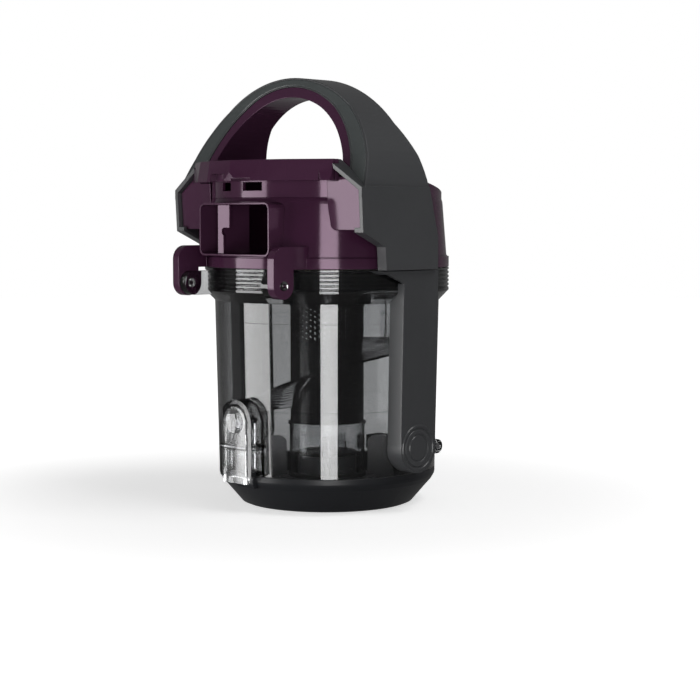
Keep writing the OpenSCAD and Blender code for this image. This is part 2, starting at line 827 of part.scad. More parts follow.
module housing_ring() {
    color(purple) difference() {
        union() {
            difference() {
                union() {
                    ring(collar_r - 5.6, collar_r, ring_z, drum_z - 0.8);
                    ring(collar_r - 5.6, collar_r - 1.2, drum_z - 0.9, drum_z);
                    hinge_lugs();
                }
                translate([0, 0, 1]) ring(0, collar_r - 5.6, ring_z - 10, ring_z + 60);
                translate([0, 0, drum_z]) cylinder(h = 60, r = drum_foot_r + 0.2);
            }
            both_sides() box(
                [catch_half_w + 0.5, collar_r - 3.5, catch_z - 3],
                [catch_half_w + 3, catch_y + 3, catch_z + 3]
            );
        }
        rod_x(-40, 40, catch_y, catch_z, catch_pin_r + running);
        ring(collar_r - 3.1, collar_r - 0.8, ring_z - 1, ring_z + 1.2);
    }
}

module housing_seal() {
    color(rubber) ring(collar_r - 3, collar_r - 0.9, ring_z - gap, ring_z + 1.2);
}

// Sideways limit that keeps the drum clear of the handle
module beside_handle(extra) {
    difference() {
        box(
            [-handle_a - 5, -cheek_front - 3.6, spring_z - 0.4 - extra],
            [handle_a + 5, 9 + extra, deck_front_z + 10]
        );
        along_y(
            -cheek_front - 12, cheek_back + 3,
            horseshoe(lining_a - 0.4 - extra, lining_b - 0.4, cheek_bottom - 9)
        );
    }
}

// Solid form of the drum, drawn in by a wall
module drum_form(inset) {
    low = drum_z - (inset > 0 ? 1 : 0);
    shoulder = 9;
    r = drum_shoulder_r - inset;
    top = deck_rear_z - inset;
    difference() {
        union() {
            revolve(concat(
                [[0, low], [drum_foot_r - inset, low], [r, drum_shoulder_z]],
                arc(r - shoulder, top - shoulder, shoulder, 0, 90, 8),
                [[0, top]]
            ));
            intersection() {
                translate([0, 0, low]) cylinder(h = deck_front_z - low, r = r - 0.8);
                along_x(-handle_a, handle_a, [
                    [-handle_a, low], [-handle_a, deck_front_z - deck_t - inset],
                    [-slope_front, deck_front_z - deck_t - inset],
                    [slope_back, deck_rear_z - deck_t - inset], [slope_back, low]
                ]);
            }
        }
        beside_handle(inset);
    }
}

function rounded(half_w, low, high, r) = concat(
    arc(half_w - r, high - r, r, 0, 90, 6), arc(-half_w + r, high - r, r, 90, 180, 6),
    arc(-half_w + r, low + r, r, 180, 270, 6), arc(half_w - r, low + r, r, 270, 360, 6)
);

// Purple cheek plate between the drum and the handle shell, set back behind the rim of the cheek
module fairing() {
    low = drum_z + 17.3;
    front = 3 - cheek_front;
    left = handle_a - 33.5;
    right = handle_a - handle_skin - gap;
    difference() {
        intersection() {
            along_x(left - 1, right, [
                [front + 1.6, low], [front - 0.3, deck_front_z - slab_h + 2],
                [front + 1, deck_front_z - slab_h + 2], [front + 4, low + 2.4],
                [front + 21.4, low + 2.4], [front + 21.4, low]
            ]);
            along_y(front - 10, front + 30, concat(
                [[right + 1, low - 1], [right + 1, deck_front_z], [left, deck_front_z]],
                arc(left + 7, low + 7, 7, 180, 270, 6)
            ));
        }
        intersection() {
            translate([0, 0, ring_z]) cylinder(h = deck_seam_z - ring_z, r = drum_shoulder_r - 1.2);
            box([0, -collar_r - 8, ring_z], [collar_r + 8, collar_r + 8, deck_front_z + 20]);
        }
        translate([0, 0, deck_seam_z - 0.1]) cylinder(h = 50, r = drum_shoulder_r);
        along_y(-far_front - 8, 0, [
            [handle_a - 27.5, deck_front_z + 31], [handle_a - 27.5, spring_z + 25.4],
            [handle_a + 5, spring_z + 3.7], [handle_a + 5, deck_front_z + 31]
        ]);
        box([0, front - 11.6, deck_front_z - slab_h - gap], [cover_half + 1, front + 8.4, deck_front_z + 31]);
    }
}

// Panel on one side, its back cut to the drum
module cheek_panel() {
    color(purple) difference() {
        fairing();
        drum_form(-0.05);
    }
}

module cheek_panel_right() { cheek_panel(); }

module cheek_panel_left() { mirror([1, 0, 0]) cheek_panel(); }

// Outline of the outlet port, drawn in by a wall
function port_outline(t) = rounded(port_half_w - t, port_z + t, port_top - t, port_corner - t);

// Sleeve of the outlet port, which runs through the wall of the drum
module port_sleeve() {
    color(purple) difference() {
        along_y(-port_y, -port_end, port_outline(0));
        along_y(-port_y - 1, 1 - port_end, port_outline(port_wall));
    }
}

// Wall of the drum with the boss of the hose inlet
module drum_body() {
    difference() {
        union() {
            difference() {
                drum_form(0);
                drum_form(drum_wall);
                translate([0, 0, deck_seam_z]) cylinder(h = 60, r = handle_a);
            }
            rod_y(duct_y + duct_half + gap, drum_foot_r + 2.5, 0, hose_z, hose_r + 2.6);
        }
        along_y(-port_y - 1, 1 - port_end, port_outline(-0.05));
        rod_y(duct_y, drum_foot_r + 4, 0, hose_z, hose_r);
        translate([0, 0, drum_z - 2]) cylinder(h = 2, r = handle_a + 30);
        both_sides() for (z = handle_screw_z)
            rod_x(drum_shoulder_r - 18, drum_foot_r + 4, handle_screw_y, z, 1.6);
    }
}

// Front half of the drum with the window for the port; its joint hides under the cheeks of the handle
module outlet_housing() {
    color(purple) intersection() {
        drum_body();
        box([-handle_a, -handle_a, drum_z - 1], [handle_a, drum_joint_y, deck_front_z]);
    }
}

// Rear half of the drum with the hose inlet
module housing_rear() {
    color(purple) intersection() {
        drum_body();
        box([-handle_a, drum_joint_y + 0.05, drum_z - 1], [handle_a, handle_a + 20, deck_front_z]);
    }
}

// Sloping deck with the raised front wall and its two hook windows
module housing_deck() {
    color(purple) difference() {
        drum_form(0);
        drum_form(drum_wall);
        translate([0, 0, drum_z - 2]) cylinder(h = deck_seam_z + gap / 3 - drum_z + 2, r = handle_a);
        for (w = hook_windows)
            box([w[0], -port_y - 5.5, deck_front_z - 19.4], [w[1], 14.5 - port_y, deck_front_z - slab_h - 0.6]);
    }
}

// Elbow that turns the dirty air down into the inlet duct
module inlet_elbow() {
    h = duct_half;
    half = hose_r + 3.4;
    wall = 1.6;
    back = duct_y + h;
    low = drum_z + 1.2;
    high = hose_z + hose_r + 2;
    color(smoke) difference() {
        union() {
            box([-half, duct_y - h, low], [half, back, high]);
            box([-h, duct_y - h, plate_z + plate_t + gap], [h, back - 1, low + 1]);
        }
        box([-half + wall, duct_y - h + wall, low + wall], [half - wall, back - wall, high - wall]);
        box([-h + wall, duct_y - h + wall, plate_z], [h - wall, back - 1 - wall, low + wall + 1]);
        rod_y(back - wall - 1, back + 1, 0, hose_z, hose_r + 0.3);
    }
}

// Upright stop inside the outlet port, wider in its upper half, on a web that runs inward
module port_rib() {
    low = port_z + port_wall + 0.1;
    high = port_top - port_wall - 0.1;
    middle = (low + high) / 2;
    front = 4 - port_y;
    edge = 14 - port_half_w;
    color(purple) union() {
        translate([edge, front, 0]) rotate([0, 0, 5]) along_y(0, 1.8, [
            [0, low], [5, low], [5, middle - 4], [3.6, middle - 2.6], [3.6, middle - 0.4], [5, middle + 1],
            [10.4, middle + 1], [10.4, high], [0, high]
        ]);
        box([edge, front + 1, low], [edge + 1.8, front + 26, high]);
    }
}

// Facets of the front edge of the top cover, from the middle outwards
function cover_edge(front) = [
    [5.8, 0.1 - front], [25.6, 3.3 - front], [42.5, 9.6 - front], [cover_half - 6, 21.3 - front],
    [cover_half - 7, 23 - front], [cover_half - 2.6, 26.4 - front], [cover_half - 0.4, 28.4 - front]
];

// What leans back from one facet, seen from its lower edge up
module cover_draft(from, to, low) {
    dx = to[0] - from[0];
    dy = to[1] - from[1];
    translate([from[0], from[1], low]) rotate([0, 0, atan2(dy, dx)]) rotate([-cover_lean, 0, 0])
        box([-60, -30, -10], [90, 0, slab_h + 10]);
}

// Cover between the legs of the handle, with the faceted rim over the outlet port
module top_cover() {
    front = collar_r + 5.4;
    half = cover_half;
    low = deck_front_z - slab_h;
    back = 3.9 - cheek_front;
    edge = cover_edge(front);
    color(purple) difference() {
        union() {
            translate([0, 0, low]) linear_extrude(slab_h) polygon(concat(
                [[half, back], [-half, back]],
                [for (i = [len(edge) - 1 : -1 : 1]) [-edge[i][0], edge[i][1]]],
                [[-edge[0][0] + 1, edge[0][1]]],
                edge
            ));
            both_sides() translate([half - 4.8, back - 6, low]) cylinder(h = slab_h, r = 5.4);
            intersection() {
                cylinder(h = deck_front_z + 20, r = drum_shoulder_r - 15.9);
                along_x(4 - half, half - 4, [
                    [-front, deck_front_z - deck_t + 0.05], [-front, deck_front_z], [-slope_front, deck_front_z],
                    [slope_back - 2, deck_rear_z], [slope_back - 2, deck_rear_z - deck_t + 0.1],
                    [-slope_front, deck_front_z - deck_t + 0.05]
                ]);
            }
        }
        for (i = [0 : 2]) cover_draft(edge[i], edge[i + 1], low);
        mirror([1, 0, 0]) for (i = [0 : 2]) cover_draft(edge[i], edge[i + 1], low);
        drum_form(-0.05);
        box([hook_windows[0][0], -front - 2, low - 1], [-6, 8.5 - front, low + 4.8]);
        box([hook_windows[1][0], -front - 2, low - 1], [hook_windows[1][1], 8.5 - front, low + 1.6]);
    }
}

// (Y, Z) points of the front edge of the arch, from the cheeks up
function front_edge(t) = [
    [t - cheek_front + 3.8, spring_z + 12], [t - arch_front - 12.5, spring_z + 32],
    [t - arch_front - 6.5, spring_z + 50], [t - arch_front - 2.5, spring_z + handle_b - 20],
    [t - arch_front, arch_limit]
];

// (Y, Z) outline of the handle, drawn in by a wall
function side_outline(t, low) = concat(
    [
        [t - leg_flare, low], [t - leg_flare - 1, cheek_bottom + 15 + t / 2],
        [t - cheek_front + 1.4, cheek_bottom + 24 + t / 2], [t - cheek_front, spring_z + 8]
    ],
    front_edge(t),
    [
        [-arch_back - t, arch_limit], [0.8 - arch_back - t, spring_z + handle_b - 14],
        [1.8 - arch_back - t, spring_z + 53], [cheek_back - 12 - t, spring_z + 32], [cheek_back - 7.5 - t, spring_z + 9],
        [cheek_back - t, cheek_bottom + 21], [cheek_back - t, low]
    ]
);

module handle_shell() {
    color(anthracite) difference() {
        union() {
            handle_shell_form();
            handle_bosses();
        }
        drum_form(-gap);
        handle_trim_form(0.05);
    }
}

module handle_shell_form() {
    skin = handle_skin;
    difference() {
        union() {
            intersection() {
                along_y(-far_front, far_back, concat(half_oval(handle_a, handle_b), [
                    for (p = half_oval(lining_a, lining_b)) [-p[0], p[1]]
                ]));
                along_x(-side, side, side_outline(0, cheek_bottom));
                difference() {
                    box([-side, -far_front - 8, cheek_bottom - 9], [side, far_back + 6, arch_limit + 10]);
                    box(
                        [7.6 - handle_a, -far_front - 9, cheek_bottom - 10],
                        [handle_a - 7.6, 4.1 - cheek_front, spring_z + 11.9]
                    );
                }
            }
            both_sides() intersection() {
                along_x(handle_a - 7.6, handle_a, side_outline(0, cheek_bottom));
                box([handle_a - 30, -far_front - 8, cheek_bottom], [handle_a, far_back + 6, spring_z + 12]);
            }
            both_sides() intersection() {
                along_y(-cheek_front - 3, 9.4 - cheek_front, [
                    [handle_a - 27.5, spring_z + 29], [handle_a, spring_z + 11], [handle_a, spring_z + 5],
                    [handle_a - skin, spring_z + 5], [handle_a - skin, spring_z + 9.2],
                    [handle_a - 27.5, spring_z + 25.8]
                ]);
                difference() {
                    along_x(handle_a - 30, side, [
                        [-cheek_front, spring_z], [-cheek_front, spring_z + 11], [-cheek_front - 3, spring_z + 30],
                        [18.4 - cheek_front, spring_z + 30], [18.4 - cheek_front, spring_z]
                    ]);
                    box(
                        [0, -far_front - 8, deck_front_z - slab_h - gap],
                        [cover_half + 0.9, 3.9 - cheek_front + gap, deck_front_z + 8]
                    );
                }
            }
        }
        intersection() {
            along_y(-far_front, far_back, horseshoe(handle_a - skin, handle_b - skin, cheek_bottom - 10));
            along_x(-side, side, side_outline(2.4, cheek_bottom - 10));
        }
        along_y(-far_front - 8, 6.4 - cheek_front, [
            [skin - handle_a, cheek_bottom + 27], [skin - handle_a, spring_z + 9.2],
            [27.5 - handle_a, spring_z + 25.8], [handle_a - 27.5, spring_z + 25.8],
            [handle_a - skin, spring_z + 9.2], [handle_a - skin, cheek_bottom + 27]
        ]);
    }
}

// Glossy strip set into the front face of the arch
module handle_trim_form(extra) {
    outer_a = handle_a - 1.8 + extra;
    outer_b = handle_b - 1.2 + extra;
    intersection() {
        along_y(-far_front, 13.5 - arch_front, concat(half_oval(outer_a, outer_b), [
            for (p = half_oval(lining_a + 1.4 - extra, lining_b + 0.8 - extra)) [-p[0], p[1]]
        ]));
        along_x(-side, side, concat(
            [[-far_front, spring_z + 14 - extra], [5.8 - cheek_front + extra, spring_z + 14 - extra]],
            [for (i = [1 : 4]) front_edge(1.2 + extra)[i]],
            [[-far_front, arch_limit]]
        ));
        along_x(-side, side, side_outline(0, cheek_bottom));
    }
}

module handle_trim() {
    color([0.45, 0.46, 0.47]) handle_trim_form(0);
}

module handle_lining() {
    color(purple) difference() {
        intersection() {
            along_y(-far_front, far_back, concat(half_oval(lining_a - 0.2, lining_b - 0.2), [
                for (p = half_oval(grip_a, grip_b)) [-p[0], p[1]]
            ]));
            along_x(-side, side, side_outline(0.6, cheek_bottom));
        }
        intersection() {
            along_y(-far_front, far_back, horseshoe(lining_a + 1, lining_b + 1, cheek_bottom - 9));
            along_x(-side, side, side_outline(2.8, cheek_bottom));
            difference() {
                box([-side, -far_front, cheek_bottom - 9], [side, far_back, arch_limit + 10]);
                along_y(-far_front - 8, far_back + 6, horseshoe(grip_a + 2.2, grip_b + 2.2, cheek_bottom - 19));
            }
        }
        along_x(-side, side, [
            [-side, cheek_bottom - 9], [-side, spring_z + 21.6], [-slope_front, spring_z + 21.6],
            [-slope_front, deck_front_z + gap], [slope_back, deck_rear_z + gap], [slope_back, cheek_bottom - 9]
        ]);
        cylinder(h = deck_front_z - deck_t + gap, r = drum_shoulder_r - 0.8 + gap);
        both_sides() along_y(-far_front - 8, 9.4 - cheek_front + gap, [
            [handle_a - 32, spring_z + 10], [handle_a - 32, spring_z + 32.4], [handle_a + 1, spring_z + 10.8]
        ]);
    }
}

module handle_screws() {
    color(steel) both_sides() for (z = handle_screw_z) {
        x = screw_x(z) - drum_wall - 1;
        rod_x(x, x + 9.5, handle_screw_y, z, 1.4);
        rod_x(x - 1.8, x, handle_screw_y, z, 2.9);
    }
}

// Bosses inside the cheeks that take the handle screws
module handle_bosses() {
    both_sides() for (z = handle_screw_z) difference() {
        rod_x(handle_a - 20, handle_a - handle_skin + 0.2, handle_screw_y, z, 3.6);
        rod_x(handle_a - 30, screw_x(z) + 7, handle_screw_y, z, 1.45);
    }
}

// ---- Housing catch ----

module housing_catch() {
    w = catch_half_w;
    back = catch_y + 1;
    hook_z = hinge_z - 3.3;
    color(purple) difference() {
        union() {
            box([-w, back, hook_z], [w, back + 2.6, catch_z + 3]);
            box([-w, back + 2.5, hook_z], [w, back + 5, hook_z + 1.8]);
            rod_x(-w, w, catch_y, catch_z, catch_pin_r + 1.2);
            box([-6, collar_r + 0.4, hook_z], [6, back + 1, hook_z + 3]);
        }
        rod_x(-w - 1, w + 1, catch_y, catch_z, catch_pin_r + running);
    }
}

module catch_pin() {
    half = catch_half_w + 3;
    color(steel) rod_x(-half, half, catch_y, catch_z, catch_pin_r);
}

lid();
lid_baffle();
lid_seal();
cup_seal();
container();
latch_lever();
latch_pin();
latch_spring();
lid_hinge_pin();
leg_right();
leg_left();
leg_cap_right();
leg_cap_left();
leg_screws();
inner_cup();
shroud();
lid_plug();
shroud_screen();
separator_plate();
inlet_duct();
swirl_ramp();
pleated_filter();
filter_lid();
housing_ring();
housing_seal();
outlet_housing();
housing_rear();
housing_deck();
port_sleeve();
port_rib();
cheek_panel_right();
cheek_panel_left();
inlet_elbow();
top_cover();
handle_shell();
handle_trim();
handle_lining();
handle_screws();
housing_catch();
catch_pin();
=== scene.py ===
"""Dust container of a bagless canister vacuum cleaner: finishes, floor, light and camera."""

import json
import math

import bpy
import bmesh
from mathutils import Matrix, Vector

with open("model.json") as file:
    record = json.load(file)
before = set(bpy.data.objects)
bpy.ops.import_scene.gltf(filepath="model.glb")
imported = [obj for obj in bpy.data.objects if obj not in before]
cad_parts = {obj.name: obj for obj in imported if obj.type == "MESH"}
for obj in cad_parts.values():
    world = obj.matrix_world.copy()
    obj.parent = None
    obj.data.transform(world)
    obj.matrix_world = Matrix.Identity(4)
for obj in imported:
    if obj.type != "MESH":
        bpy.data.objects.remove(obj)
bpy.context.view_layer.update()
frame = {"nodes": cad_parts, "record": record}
NODES = frame["nodes"]

# Camera: it stands beside the part, a little above the collar, and looks slightly down
CAMERA_AZIMUTH = 45.5
CAMERA_DISTANCE = 1.156
CAMERA_HEIGHT = 0.192
CAMERA_LENS = 87.4
CAMERA_SENSOR = 36
CAMERA_REACH = 50
CAMERA_YAW = 0.775
CAMERA_PITCH = 4.44

# Lamps: name, azimuth from the camera's, elevation, distance, width, height, radiance
LAMPS = (
    ("strip_front", 2, -5, 2.0, 0.59, 1.2, 7.0),
    ("box_left", -76, -6, 1.8, 1.02, 1.0, 5.0),
    ("box_top", 55, 54, 1.7, 0.9, 0.8, 4.2),
)
LAMP_AIM = Vector((0, 0, 0.14))

# Studio that reflections and soft light see: it grows from the first strength, on the camera's
# side, to the second, behind the part, over this span of directions (-1 is at the camera)
STUDIO_FRONT, STUDIO_BEHIND = 0.1, 0.2
STUDIO_SPAN = (-0.1, 0.9)

FLOOR_RADIUS = 3.0
FLOOR_SIDES = 96
FLOOR_DROP = 0.0004
FLOOR_COLOUR = (0.8, 0.8, 0.8, 1)
# The floor's own light grows to white between these distances from the part
GLOW_SPAN = (0.12, 0.5)
GLOW_LOW = 0.62

WHITE = (1, 1, 1, 1)
UP = Vector((0, 0, 1))
# Glossy Depth counts a ray's mirrored bounces, so half a bounce parts none from one
HALF_BOUNCE = 0.5

# Noise rarely leaves this span, which ranged() stretches to the wanted one
NOISE_SPAN = (0.3, 0.7)

# Moulded plastic: tones of its broad patches, gloss of its grain, and edges made lighter, partly as
# wear and partly as a painted edge highlight
PATCH_SCALE = 9.0
PATCH_DARK, PATCH_LIGHT = 0.93, 1.07
GRAIN_SMOOTHER, GRAIN_ROUGHER = 0.03, 0.04
GRAIN_STRENGTH = 0.5
COAT_ROUGHNESS = 0.08
EDGE_SAMPLES = 6
# Pointiness at which an edge starts to look worn and carry its painted highlight, and at which both
# are as strong as they get
WEAR_AND_HIGHLIGHT_SPAN = (0.54, 0.62)
WEAR_AND_HIGHLIGHT_SHARE = 0.25
WEAR_AND_HIGHLIGHT_GAIN, WEAR_AND_HIGHLIGHT_LIFT = 1.5, 0.02

# Clear plastic: the ripples its moulding leaves, and how slanting a look starts and ends to darken it
CLEAR_IOR = 1.58
RIPPLE_SCALE = 22.0
RIPPLE_ROUGHER = 0.03
RIPPLE_STRENGTH, RIPPLE_DEPTH = 0.35, 0.00004
SLANT_SPAN = (0.35, 0.72)

BRUSH_SCALE = 260.0
BRUSH_SMOOTHER, BRUSH_ROUGHER = 0.08, 0.12
BRUSH_STRENGTH, BRUSH_DEPTH = 0.3, 0.00002

FIBRE_SCALE = 900.0
FIBRE_DARK = 0.8
FLEECE_ROUGHNESS = 0.95
FIBRE_STRENGTH, FIBRE_DEPTH = 0.8, 0.0002

# Parts that look clearer than the container: how clear, and how milky
CLEARER = {"latch_lever": (0.9, 0.03), "inlet_duct": (0.86, 0.0), "inner_cup": (0.86, 0.0)}
CLEARER_DENSITY = 0.92
CLEARER_EDGE = 0.8
# They are a touch cooler than grey
COOL_GREEN, COOL_BLUE = 0.004, 0.01


def turned(azimuth):
    """Unit vectors (towards the axis, to the right) for a camera at that azimuth."""
    a = math.radians(azimuth)
    return Vector((-math.sin(a), math.cos(a), 0)), Vector((math.cos(a), math.sin(a), 0))


def make_camera():
    ahead, right = turned(CAMERA_AZIMUTH)
    yaw, pitch = math.radians(CAMERA_YAW), math.radians(CAMERA_PITCH)
    flat = ahead * math.cos(yaw) + right * math.sin(yaw)
    look = flat * math.cos(pitch) - UP * math.sin(pitch)
    data = bpy.data.cameras.new("camera")
    data.lens = CAMERA_LENS
    data.sensor_width = CAMERA_SENSOR
    data.clip_end = CAMERA_REACH
    camera = bpy.data.objects.new("camera", data)
    camera.location = -ahead * CAMERA_DISTANCE + UP * CAMERA_HEIGHT
    camera.rotation_euler = look.to_track_quat("-Z", "Y").to_euler()
    bpy.context.scene.collection.objects.link(camera)
    bpy.context.scene.camera = camera


# ---- Node helpers: t is the node tree they add to ----

def math_node(t, operation, first, second):
    """Result of a Math node whose inputs are sockets or plain numbers."""
    n = t.nodes.new("ShaderNodeMath")
    n.operation = operation
    for socket, value in zip(n.inputs, (first, second)):
        if isinstance(value, (int, float)):
            socket.default_value = value
        else:
            t.links.new(value, socket)
    return n.outputs[0]


def ranged(t, source, low, high, span=NOISE_SPAN, smooth=False):
    """The source's span, taken to low to high and held there beyond it."""
    r = t.nodes.new("ShaderNodeMapRange")
    if smooth:
        r.interpolation_type = "SMOOTHSTEP"
    r.inputs["From Min"].default_value, r.inputs["From Max"].default_value = span
    r.inputs["To Min"].default_value = low
    r.inputs["To Max"].default_value = high
    t.links.new(source, r.inputs["Value"])
    return r.outputs["Result"]


def mixed_shader(t, factor, first, second):
    """Output of a mix of two shader nodes."""
    mix = t.nodes.new("ShaderNodeMixShader")
    t.links.new(factor, mix.inputs["Fac"])
    t.links.new(first.outputs[0], mix.inputs[1])
    t.links.new(second.outputs[0], mix.inputs[2])
    return mix.outputs[0]


def mixed_colour(t, factor, first, second):
    """Mix of two colours; first is a colour or a socket."""
    mix = t.nodes.new("ShaderNodeMix")
    mix.data_type = "RGBA"
    if isinstance(first, bpy.types.NodeSocket):
        t.links.new(first, mix.inputs["A"])
    else:
        mix.inputs["A"].default_value = first
    mix.inputs["B"].default_value = second
    t.links.new(factor, mix.inputs["Factor"])
    return mix.outputs["Result"]


def noise(t, scale, detail, roughness=0.6):
    coord = t.nodes.new("ShaderNodeTexCoord")
    n = t.nodes.new("ShaderNodeTexNoise")
    n.inputs["Scale"].default_value = scale
    n.inputs["Detail"].default_value = detail
    n.inputs["Roughness"].default_value = roughness
    t.links.new(coord.outputs["Object"], n.inputs["Vector"])
    return n.outputs["Fac"]


def bumped(t, height, strength, distance, normal=None):
    """Normal of a fine bump, on top of another normal where one is given."""
    bump = t.nodes.new("ShaderNodeBump")
    bump.inputs["Strength"].default_value = strength
    bump.inputs["Distance"].default_value = distance
    t.links.new(height, bump.inputs["Height"])
    if normal:
        t.links.new(normal, bump.inputs["Normal"])
    return bump.outputs["Normal"]


def looked_through(t, path):
    """1 for rays from the camera and through clear plastic."""
    return math_node(t, "MAXIMUM", path.outputs["Is Camera Ray"], path.outputs["Is Transmission Ray"])


def scaled(colour, factor, lift=0.0):
    """A colour made lighter or darker, at most white."""
    return [min(1, c * factor + lift) for c in colour[:3]] + [1]


def srgb(*rgb):
    """Linear colour from 0-255 display values."""
    out = []
    for v in rgb:
        c = v / 255
        out.append(c / 12.92 if c <= 0.04045 else ((c + 0.055) / 1.055) ** 2.4)
    return (*out, 1)


# ---- Light and surroundings ----

def softbox(name, azimuth, elevation, distance, width, height, radiance):
    """A rectangular lamp whose azimuth counts as the camera's does, aimed at the part."""
    a, e = math.radians(azimuth), math.radians(elevation)
    away = Vector((math.sin(a) * math.cos(e), -math.cos(a) * math.cos(e), math.sin(e)))
    data = bpy.data.lights.new(name, "AREA")
    data.shape = "RECTANGLE"
    data.size, data.size_y = width, height
    data.energy = radiance * math.pi * width * height
    lamp = bpy.data.objects.new(name, data)
    lamp.location = LAMP_AIM + away * distance
    lamp.rotation_euler = (-away).to_track_quat("-Z", "Y").to_euler()
    bpy.context.scene.collection.objects.link(lamp)


def make_lights():
    for name, azimuth, *rest in LAMPS:
        softbox(name, CAMERA_AZIMUTH + azimuth, *rest)


def make_world():
    """White where the camera looks past or through the part, and a dim studio for all other light."""
    world = bpy.data.worlds.new("studio")
    bpy.context.scene.world = world
    world.use_nodes = True
    t = world.node_tree
    t.nodes.clear()
    path = t.nodes.new("ShaderNodeLightPath")
    white = t.nodes.new("ShaderNodeBackground")
    white.inputs["Color"].default_value = WHITE
    dim = t.nodes.new("ShaderNodeBackground")
    coord = t.nodes.new("ShaderNodeTexCoord")
    behind = t.nodes.new("ShaderNodeVectorMath")
    behind.operation = "DOT_PRODUCT"
    ahead, _ = turned(CAMERA_AZIMUTH)
    behind.inputs[1].default_value = ahead
    t.links.new(coord.outputs["Generated"], behind.inputs[0])
    strength = ranged(t, behind.outputs["Value"], STUDIO_FRONT, STUDIO_BEHIND, STUDIO_SPAN)
    t.links.new(strength, dim.inputs["Strength"])
    unmirrored = math_node(t, "LESS_THAN", path.outputs["Glossy Depth"], HALF_BOUNCE)
    seen = math_node(t, "MULTIPLY", looked_through(t, path), unmirrored)
    out = t.nodes.new("ShaderNodeOutputWorld")
    t.links.new(mixed_shader(t, seen, dim, white), out.inputs["Surface"])


def floor_material():
    """Diffuse white that glows to full white far out, and is clear from below and to mirrored rays."""
    m = bpy.data.materials.new("floor_white")
    m.use_nodes = True
    t = m.node_tree
    t.nodes.clear()
    diffuse = t.nodes.new("ShaderNodeBsdfDiffuse")
    diffuse.inputs["Color"].default_value = FLOOR_COLOUR
    glow = t.nodes.new("ShaderNodeEmission")
    glow.inputs["Color"].default_value = WHITE
    path = t.nodes.new("ShaderNodeLightPath")
    coord = t.nodes.new("ShaderNodeTexCoord")
    far = t.nodes.new("ShaderNodeVectorMath")
    far.operation = "LENGTH"
    t.links.new(coord.outputs["Object"], far.inputs[0])
    rise = ranged(t, far.outputs["Value"], GLOW_LOW, 1.0, GLOW_SPAN, smooth=True)
    t.links.new(math_node(t, "MULTIPLY", looked_through(t, path), rise), glow.inputs["Strength"])
    lit = t.nodes.new("ShaderNodeAddShader")
    t.links.new(diffuse.outputs[0], lit.inputs[0])
    t.links.new(glow.outputs[0], lit.inputs[1])
    side = t.nodes.new("ShaderNodeNewGeometry")
    clear = t.nodes.new("ShaderNodeBsdfTransparent")
    mirrored = math_node(t, "GREATER_THAN", path.outputs["Glossy Depth"], HALF_BOUNCE)
    unseen = math_node(t, "MAXIMUM", side.outputs["Backfacing"], mirrored)
    out = t.nodes.new("ShaderNodeOutputMaterial")
    t.links.new(mixed_shader(t, unseen, lit, clear), out.inputs["Surface"])
    return m


def make_floor():
    """A pale round floor that keeps the shadow under the part and fades into the white background.

    It is clear from below, so that the open lid, which hangs under it, can be looked at.
    """
    mesh = bpy.data.meshes.new("floor")
    bm = bmesh.new()
    bmesh.ops.create_circle(bm, cap_ends=True, segments=FLOOR_SIDES, radius=FLOOR_RADIUS)
    for face in bm.faces:
        if face.normal.z < 0:
            face.normal_flip()
    bm.to_mesh(mesh)
    bm.free()
    floor = bpy.data.objects.new("floor", mesh)
    floor.location = (0, 0, -FLOOR_DROP)
    bpy.context.scene.collection.objects.link(floor)
    floor.data.materials.append(floor_material())
    floor.visible_glossy = False
    floor.visible_shadow = False


# ---- Materials ----

def new_material(name):
    m = bpy.data.materials.new(name)
    m.use_nodes = True
    t = m.node_tree
    t.nodes.clear()
    out = t.nodes.new("ShaderNodeOutputMaterial")
    shader = t.nodes.new("ShaderNodeBsdfPrincipled")
    t.links.new(shader.outputs[0], out.inputs["Surface"])
    return m, t, shader, out


def plastic(
    name, colour, rough, grain, grain_depth, specular=0.5, tint=None, coat=0.0, edge_radius=0.0005
):
    """Moulded plastic with slightly uneven gloss, and rounded edges a little lighter, partly from use
    and partly as a painted edge highlight.

    grain is the scale of its surface noise, and grain_depth how deep that looks.
    """
    m, t, shader, _ = new_material(name)
    broad = noise(t, PATCH_SCALE, detail=2.0)
    fine = noise(t, grain, detail=4.0, roughness=0.7)
    patches = scaled(colour, PATCH_DARK), scaled(colour, PATCH_LIGHT)
    tone = mixed_colour(t, ranged(t, broad, 0, 1), *patches)
    # Edges lighter by their pointiness: partly wear, partly a painted edge highlight
    corner = t.nodes.new("ShaderNodeNewGeometry").outputs["Pointiness"]
    wear_and_highlight = ranged(t, corner, 0, WEAR_AND_HIGHLIGHT_SHARE, WEAR_AND_HIGHLIGHT_SPAN)
    worn_and_highlit = mixed_colour(t, wear_and_highlight, tone, scaled(colour, WEAR_AND_HIGHLIGHT_GAIN, WEAR_AND_HIGHLIGHT_LIFT))
    t.links.new(worn_and_highlit, shader.inputs["Base Color"])
    uneven = ranged(t, fine, rough - GRAIN_SMOOTHER, rough + GRAIN_ROUGHER)
    t.links.new(uneven, shader.inputs["Roughness"])
    shader.inputs["Specular IOR Level"].default_value = specular
    if tint:
        shader.inputs["Specular Tint"].default_value = tint
    shader.inputs["Coat Weight"].default_value = coat
    shader.inputs["Coat Roughness"].default_value = COAT_ROUGHNESS
    bevel = t.nodes.new("ShaderNodeBevel")
    bevel.samples = EDGE_SAMPLES
    bevel.inputs["Radius"].default_value = edge_radius
    normal = bumped(t, fine, GRAIN_STRENGTH, grain_depth, bevel.outputs["Normal"])
    t.links.new(normal, shader.inputs["Normal"])
    return m


